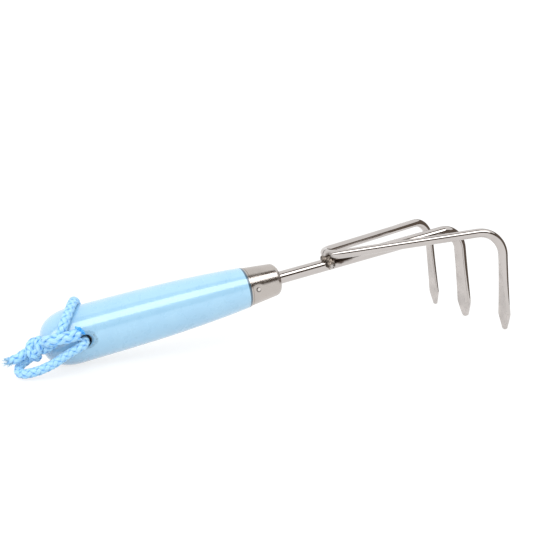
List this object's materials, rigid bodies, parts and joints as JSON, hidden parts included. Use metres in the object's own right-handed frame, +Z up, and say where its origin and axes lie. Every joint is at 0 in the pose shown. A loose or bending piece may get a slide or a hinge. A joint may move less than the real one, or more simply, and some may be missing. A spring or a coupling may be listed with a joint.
{
  "type": "hand cultivator",
  "caption": "Hand cultivator with a painted wooden handle, steel ferrule, welded round-rod tines with spear points and a knotted braided hanging cord.",
  "frame": {"origin": "middle of the tool's footprint, on the table that it rests on, without the cord", "axes": "+X from the handle's rear end towards the tines, +Z up off the table, -Y the side of the brad"},
  "size_m": [0.3133, 0.084, 0.0693],
  "materials": {
    "painted_wood": "light blue semi-gloss paint, small scuffs",
    "ferrule_steel": "satin drawn steel",
    "brad_steel": "bright head",
    "rod_steel": "polished plated rod, ground flats on the tines",
    "weld_steel": "plated weld metal, uneven",
    "cord_blue": "light blue braided polypropylene"
  },
  "bodies": {
    "root": {"handle": "painted_wood", "ferrule": "ferrule_steel", "ferrule_brad": "brad_steel", "shank_rod": "rod_steel", "outer_tine_rod": "rod_steel", "weld_bead_near": "weld_steel", "weld_bead_far": "weld_steel", "cord_loop": "cord_blue", "cord_knot": "cord_blue", "cord_tail_long": "cord_blue", "cord_tail_frayed": "cord_blue"}
  },
  "joints": []
}
